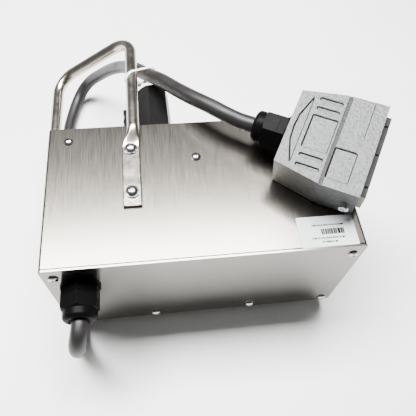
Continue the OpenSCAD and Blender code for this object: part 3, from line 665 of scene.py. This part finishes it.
def shade_recesses(screws, axis, outward):
    """Darkens the recess in each screw's head; the heads look out along one axis, up it or down it."""
    mesh = screws.data
    mesh.materials.append(materials["recess_shadow"])
    for screw in islands(mesh):
        points = [mesh.vertices[v].co for face in screw for v in face.vertices]
        middle = [(min(p[k] for p in points) + max(p[k] for p in points)) / 2 for k in range(3)]
        crown = max(outward * p[axis] for p in points)
        for face in screw:
            spread = math.hypot(*(face.center[k] - middle[k] for k in range(3) if k != axis))
            depth = crown - outward * face.center[axis]
            if spread < RECESS_R and RECESS_TOP < depth < RECESS_FLOOR:
                face.material_index = 1


# ---- the CAD nodes, with rounded edges where they show ----

EDGE_MM = {
    "housing_shell": 0.35, "front_plate": 0.3, "blank_label": 0.05, "handle_washers": 0.2,
    "plug_insert": 0.4, "cable_tie": 0.25, "gland_body": 0.5, "gland_nut": 0.5,
    "plug_gland_body": 0.5, "plug_gland_nut": 0.5, "plug_locking_pegs": 0.4, "inlet_collar": 0.5,
    "filter_bowl": 0.7, "nozzle_plate": 0.3, "plate_screws": 0.2, "top_screws": 0.2,
    "handle_screws": 0.2, "nozzle_screws": 0.2, "plug_hood": 0.9,
    "foot_front_left": 0.8, "foot_front_right": 0.8, "foot_rear_left": 0.8, "foot_rear_right": 0.8,
}

cable, cable_exit, cable_length = add_cable()
for node, obj in frame["nodes"].items():
    paint(obj, slot_of[node])
rounded = {node: bevelled(node, width) for node, width in EDGE_MM.items()}
shade_band(rounded["plug_hood"])
fillets = add_relief_fillets()
shade_insert(rounded["plug_insert"])
shade_recesses(rounded["plate_screws"], 1, -1)
shade_recesses(rounded["top_screws"], 2, 1)

with_cable = [rounded[node] for node in (
    "plug_hood", "plug_insert", "plug_locking_pegs", "plug_gland_body", "cable_tie")]
with_cable += [frame["nodes"][node] for node in (
    "plug_cable_end", "plug_contacts", "plug_screws", "plug_gland_seal")]
with_cable.append(fillets)


# ---- the handle: one tube, crushed flat at both ends ----

TUBE_R = 6.5 * MM
FLAT_HALF_W = 9 * MM
FLAT_HALF_T = 2 * MM
FLAT_EDGE_SLOPE = 2.2
FLAT_HOLLOW = 0.2
BEND_R = 25 * MM
NECK_L = 24 * MM
NECK_END_INSET = 8 * MM
LEG_X = -62 * MM
FLAT_X = -65.5 * MM
SIDE_LEG_OUT = 8 * MM
SIDE_LEG_Z = 109 * MM
MOUTH_DEPTH = 6 * MM
MOUTH_WIDE, MOUTH_THICK = 0.86, 0.3
FLAT_STEPS, NECK_STEPS, LEG_STEPS, BEND_STEPS = 10, 16, 5, 14
SECTION_POINTS = 40
TUBE_SHARP_FROM = math.radians(50)
BACK = Vector((0, 1, 0))
UP = Vector((0, 0, 1))


def eased(t):
    """t from 0 to 1, slow at both ends."""
    t = max(0.0, min(1.0, t))
    return t * t * (3 - 2 * t)


def tube_section(centre, along, across, crush, wide_share=1.0, thick_share=1.0):
    """A ring of points: a circle where crush is 0, a flat with round sides where it is 1."""
    out = across.cross(along).normalized()
    ring = []
    for k in range(SECTION_POINTS):
        a = 2 * math.pi * k / SECTION_POINTS
        x, y = math.cos(a), math.sin(a)
        thickness = min(abs(y) * FLAT_EDGE_SLOPE, 1) * (1 - FLAT_HOLLOW + FLAT_HOLLOW * x * x)
        wide = TUBE_R * x * (1 - crush) + FLAT_HALF_W * x * crush
        high = TUBE_R * y * (1 - crush) + FLAT_HALF_T * math.copysign(thickness, y) * crush
        ring.append(centre + across * wide * wide_share + out * high * thick_share)
    return ring


def skin(name, rings):
    """A closed mesh through the rings."""
    count = len(rings[0])
    vertices = [point for ring in rings for point in ring]
    faces = []
    for here in range(0, len(vertices) - count, count):
        there = here + count
        for k in range(count):
            after = (k + 1) % count
            faces.append([there + k, there + after, here + after, here + k])
    faces.append(list(range(count)))
    faces.append(list(range(len(vertices) - 1, len(vertices) - count - 1, -1)))
    obj = new_mesh(name, vertices, faces)
    obj.data.shade_smooth()
    obj.data.set_sharp_from_angle(angle=TUBE_SHARP_FROM)
    return obj


def leg_stations(axis, flat, ys, neck_start):
    """Centres along a leg, which moves over from the flat's middle to the tube's axis in its neck."""
    stations = []
    for y in ys:
        crush = 1 - eased((y - neck_start) / NECK_L)
        centre = axis.lerp(flat, crush)
        stations.append((Vector((centre.x, y, centre.z)), crush))
    return stations


def handle_line():
    """Stations from one flat to the other (centre, direction, crush), and how many a leg has."""
    low, high = (Vector(corner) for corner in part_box("handle_tube"))
    box_low, box_high = (Vector(corner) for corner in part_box("housing_shell"))
    neck_end = box_high.y - NECK_END_INSET
    neck_start = neck_end - NECK_L
    bend_y = high.y - TUBE_R - BEND_R
    ys = [low.y + (neck_start - low.y) * k / FLAT_STEPS for k in range(FLAT_STEPS)]
    ys += [neck_start + NECK_L * k / NECK_STEPS for k in range(NECK_STEPS + 1)]
    ys += [neck_end + (bend_y - neck_end) * k / LEG_STEPS for k in range(1, LEG_STEPS)]

    top = Vector((LEG_X, 0, box_high.z + TUBE_R))
    side = Vector((box_low.x - SIDE_LEG_OUT, 0, SIDE_LEG_Z))
    top_flat = Vector((FLAT_X, 0, box_high.z + FLAT_HALF_T))
    side_flat = Vector((box_low.x - FLAT_HALF_T, 0, SIDE_LEG_Z))
    bar = (side - top).normalized()
    stations = [(c, BACK, crush) for c, crush in leg_stations(top, top_flat, ys, neck_start)]
    for k in range(BEND_STEPS + 1):
        a = math.pi / 2 * k / BEND_STEPS
        centre = top + BACK * (bend_y + BEND_R * math.sin(a)) + bar * BEND_R * (1 - math.cos(a))
        stations.append((centre, BACK * math.cos(a) + bar * math.sin(a), 0))
    for k in range(BEND_STEPS + 1):
        a = math.pi / 2 * (1 - k / BEND_STEPS)
        centre = side + BACK * (bend_y + BEND_R * math.sin(a)) - bar * BEND_R * (1 - math.cos(a))
        stations.append((centre, bar * math.sin(a) - BACK * math.cos(a), 0))
    side_leg = leg_stations(side, side_flat, ys, neck_start)
    stations += [(c, -BACK, crush) for c, crush in reversed(side_leg)]
    return stations, len(ys)


def untwisted_across(stations):
    """A sideways direction at each station, carried along the line without twist."""
    across = [Vector((1, 0, 0))]
    for (_, before, _), (_, after, _) in zip(stations, stations[1:]):
        across.append(before.rotation_difference(after) @ across[-1])
    return across


def add_handle():
    """The bent tube; the second flat's twist is spread over the round length between the legs."""
    stations, leg_count = handle_line()
    across = untwisted_across(stations)
    last_along = stations[-1][1]
    turn = math.atan2(last_along.dot(across[-1].cross(UP)), across[-1].dot(UP))
    between = len(stations) - 2 * leg_count
    rings = []
    for i, ((centre, along, crush), side_way) in enumerate(zip(stations, across)):
        share = max(0, min(1, (i - leg_count) / between))
        twisted = Matrix.Rotation(turn * share, 3, along) @ side_way
        rings.append(tube_section(centre, along, twisted, crush))
    mouths = []
    for end, twist in ((0, 0), (-1, turn)):
        centre, along, crush = stations[end]
        side_way = Matrix.Rotation(twist, 3, along) @ across[end]
        mouths.append([
            tube_section(centre + step, along, side_way, crush, MOUTH_WIDE, MOUTH_THICK)
            for step in (Vector(), BACK * MOUTH_DEPTH)])
    handle = skin("handle_bent_tube", mouths[0][::-1] + rings + mouths[1])
    claim(handle, "handle_steel", "head", "handle_tube")


add_handle()


# ---- the label's print: plain bars and dashes that spell nothing, in millimetres ----

INK_T = 0.02
BAR_X = (-6, 15)
BAR_Y = (-3.5, 2.5)
BAR_WIDTHS = (1.4, 1.8, 2.4)
BAR_GAPS = (0.3, 0.4, 0.6)
DASH_ROWS = ((5.5, (-14, 15)), (-8, (-16, 16)), (-12, (-7, 8)))
DASH_H = 1.8
DASH_WIDTHS = (1.2, 1.6, 2.4)
DASH_GAPS = (0.5, 0.7, 1.2)
LABEL_SEED = 4


def add_label_print():
    """The ink on the blank label."""
    low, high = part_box("blank_label")
    centre = [(a + b) / 2 for a, b in zip(low, high)]
    draw = random.Random(LABEL_SEED)
    marks = []

    def print_row(x_range, y_low, y_high, widths, gaps):
        x, end = x_range
        while x < end:
            width = draw.choice(widths)
            marks.append((
                (centre[0] + x * MM, centre[1] + y_low * MM, high[2]),
                (centre[0] + (x + width) * MM, centre[1] + y_high * MM, high[2] + INK_T * MM)))
            x += width + draw.choice(gaps)

    print_row(BAR_X, *BAR_Y, BAR_WIDTHS, BAR_GAPS)
    for y, x_range in DASH_ROWS:
        print_row(x_range, y, y + DASH_H, DASH_WIDTHS, DASH_GAPS)
    obj = boxes("label_print", marks)
    obj.data.materials.append(materials["label_ink"])
    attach(obj, "head")


add_label_print()


# ---- floor and light ----

FLOOR_HALF = 3
KEY_AT = Vector((-0.22, 0.38, 1.6))
KEY_TARGET = Vector((-0.22, 0.18, 0))
KEY_SIZE = (1.5, 0.6)
KEY_WATTS = 180

# The sky's brightness by the sine of the angle above the horizon
SKY_STOPS = ((0.0, 0.5), (0.3, 0.25), (0.6, 0.04), (0.79, 0.05), (0.95, 0.62))
SKY_BLUE_SHARE = 0.985


def add_floor():
    """A plain pale table."""
    corners = [(sx * FLOOR_HALF, sy * FLOOR_HALF, 0) for sx, sy in ((-1, -1), (1, -1), (1, 1), (-1, 1))]
    floor = new_mesh("floor", corners, [(0, 1, 2, 3)])
    n = Nodes("table")
    cloud = n.noise(5, 2)
    tone = n.tint(cloud, (0.86, 0.86, 0.855), (0.89, 0.89, 0.885))
    floor.data.materials.append(n.finish(tone, n.range(cloud, 0.42, 0.5)))


def add_key_light():
    """One wide lamp overhead, a little behind the head."""
    data = bpy.data.lights.new("key", "AREA")
    data.shape = "RECTANGLE"
    data.size, data.size_y = KEY_SIZE
    data.energy = KEY_WATTS
    light = bpy.data.objects.new("key", data)
    light.location = KEY_AT
    light.rotation_euler = (KEY_TARGET - KEY_AT).to_track_quat("-Z", "Y").to_euler()
    bpy.context.collection.objects.link(light)


def add_sky():
    """A white studio that is brightest overhead, with a dark belt halfway up."""
    world = bpy.data.worlds.new("studio")
    world.use_nodes = True
    bpy.context.scene.world = world
    tree = world.node_tree
    place = tree.nodes.new("ShaderNodeTexCoord")
    split = tree.nodes.new("ShaderNodeSeparateXYZ")
    ramp = tree.nodes.new("ShaderNodeValToRGB")
    while len(ramp.color_ramp.elements) < len(SKY_STOPS):
        ramp.color_ramp.elements.new(0.5)
    for element, (position, level) in zip(ramp.color_ramp.elements, SKY_STOPS):
        element.position = position
        element.color = (level, level, level * SKY_BLUE_SHARE, 1)
    tree.links.new(place.outputs["Generated"], split.inputs["Vector"])
    tree.links.new(split.outputs["Z"], ramp.inputs["Fac"])
    tree.links.new(ramp.outputs["Color"], tree.nodes["Background"].inputs["Color"])
    tree.nodes["Background"].inputs["Strength"].default_value = 1.0


add_floor()
add_sky()
add_key_light()
